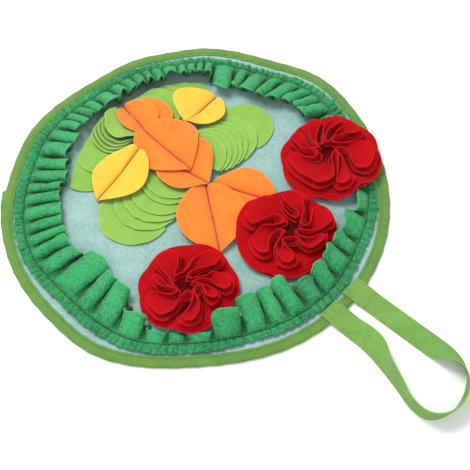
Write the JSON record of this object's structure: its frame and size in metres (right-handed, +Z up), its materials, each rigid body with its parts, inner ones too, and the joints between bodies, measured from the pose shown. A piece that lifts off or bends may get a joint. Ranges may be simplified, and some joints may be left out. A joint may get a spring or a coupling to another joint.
{
  "type": "snuffle mat",
  "caption": "Round fleece snuffle mat with a gathered green ruffle, felt leaves and petals, three red rosettes and a webbing carry loop.",
  "frame": {"origin": "middle of the mat's underside, on the floor", "axes": "+X from the middle to the carry loop, +Z up from the floor"},
  "size_m": [0.609, 0.4492, 0.0351],
  "materials": {
    "base_fleece": "matt fleece",
    "webbing": "woven webbing",
    "ruffle_fleece": "matt fleece",
    "leaf_felt": "matt felt",
    "orange_felt": "matt felt",
    "yellow_felt": "matt felt",
    "red_felt": "matt felt"
  },
  "bodies": {
    "root": {"base_cloth": "base_fleece", "binding": "webbing", "carry_loop": "webbing", "ruffle": "ruffle_fleece", "frond_a_leaf_1": "leaf_felt", "frond_a_leaf_2": "leaf_felt", "frond_a_leaf_3": "leaf_felt", "frond_a_leaf_4": "leaf_felt", "frond_a_leaf_5": "leaf_felt", "frond_a_leaf_6": "leaf_felt", "frond_a_leaf_7": "leaf_felt", "frond_b_leaf_1": "leaf_felt", "frond_b_leaf_2": "leaf_felt", "frond_b_leaf_3": "leaf_felt", "frond_b_leaf_4": "leaf_felt", "frond_b_leaf_5": "leaf_felt", "frond_b_leaf_6": "leaf_felt", "frond_c_leaf_1": "leaf_felt", "frond_c_leaf_2": "leaf_felt", "frond_c_leaf_3": "leaf_felt", "frond_c_leaf_4": "leaf_felt", "frond_c_leaf_5": "leaf_felt", "frond_d_leaf_1": "leaf_felt", "frond_d_leaf_2": "leaf_felt", "frond_d_leaf_3": "leaf_felt", "frond_d_leaf_4": "leaf_felt", "frond_d_leaf_5": "leaf_felt", "frond_d_leaf_6": "leaf_felt", "frond_d_leaf_7": "leaf_felt", "petal_orange_1": "orange_felt", "petal_orange_2": "orange_felt", "petal_orange_3": "orange_felt", "petal_orange_4": "orange_felt", "petal_orange_5": "orange_felt", "petal_orange_6": "orange_felt", "petal_yellow_7": "yellow_felt", "petal_yellow_8": "yellow_felt", "rosette_1_backing": "red_felt", "rosette_1_outer": "red_felt", "rosette_1_middle": "red_felt", "rosette_1_inner": "red_felt", "rosette_2_backing": "red_felt", "rosette_2_outer": "red_felt", "rosette_2_middle": "red_felt", "rosette_2_inner": "red_felt", "rosette_3_backing": "red_felt", "rosette_3_outer": "red_felt", "rosette_3_middle": "red_felt", "rosette_3_inner": "red_felt"}
  },
  "joints": []
}
